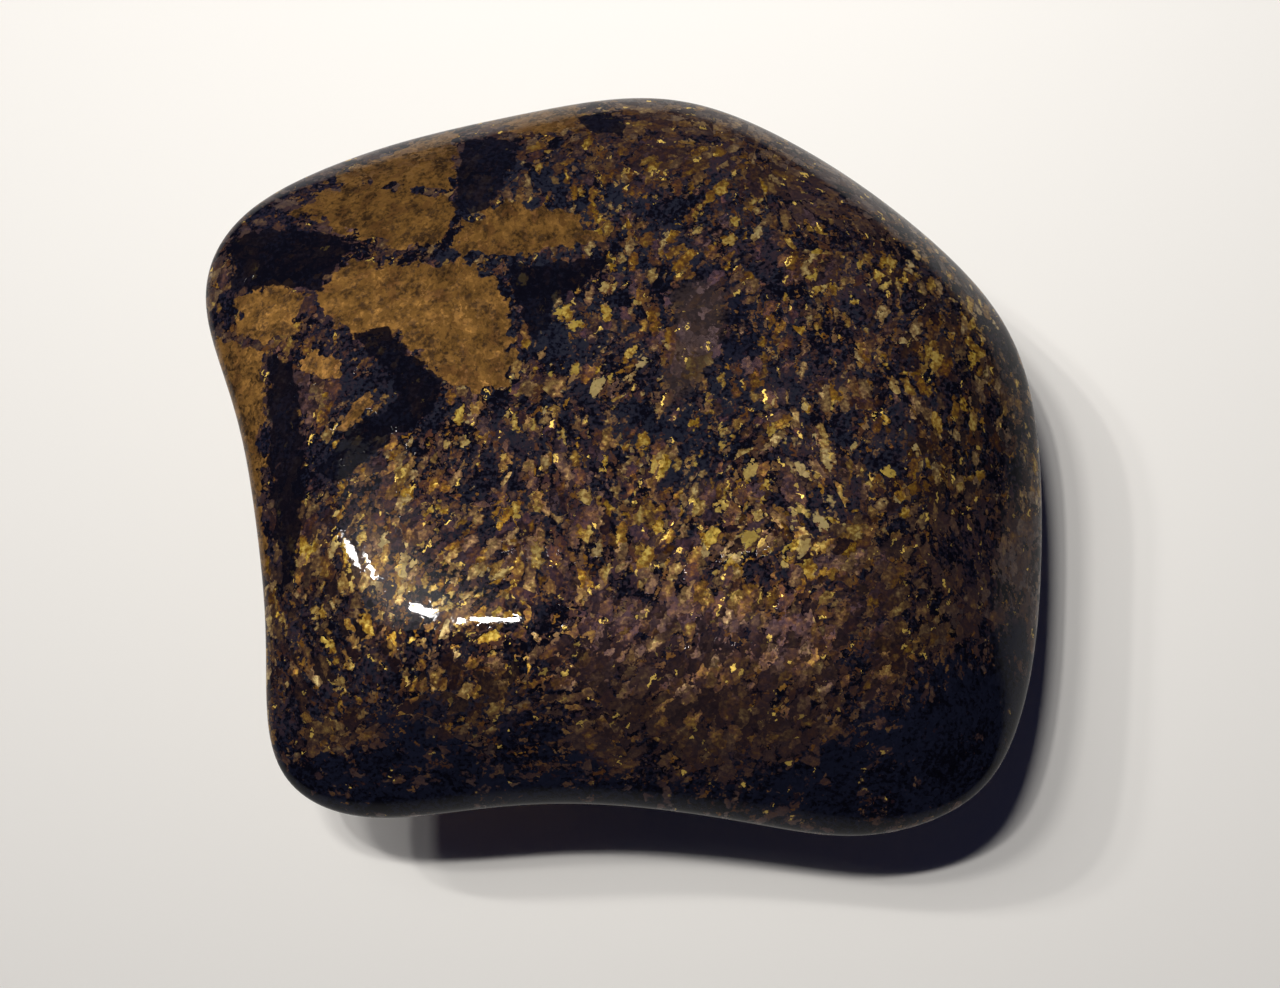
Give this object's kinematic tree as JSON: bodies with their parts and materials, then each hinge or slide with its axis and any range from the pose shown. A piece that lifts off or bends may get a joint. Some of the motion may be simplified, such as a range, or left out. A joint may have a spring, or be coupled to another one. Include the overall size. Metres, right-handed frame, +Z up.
{
  "type": "tumbled bronzite stone",
  "caption": "Polished tumbled bronzite: a rounded, flattish brown-black stone with bronze flakes, resting on a small flat spot.",
  "frame": {"origin": "on the surface that the stone rests on, under the middle of the stone's outline", "axes": "+Z up, out of the broad polished top; +X along the longest side; +Y towards the blunt point between the two far sides"},
  "size_m": [0.0424, 0.0388, 0.0143],
  "materials": {
    "bronzite": "polished, glassy clear gloss over dark brown-black stone with bronze flakes"
  },
  "bodies": {
    "root": {"stone": "bronzite"}
  },
  "joints": []
}
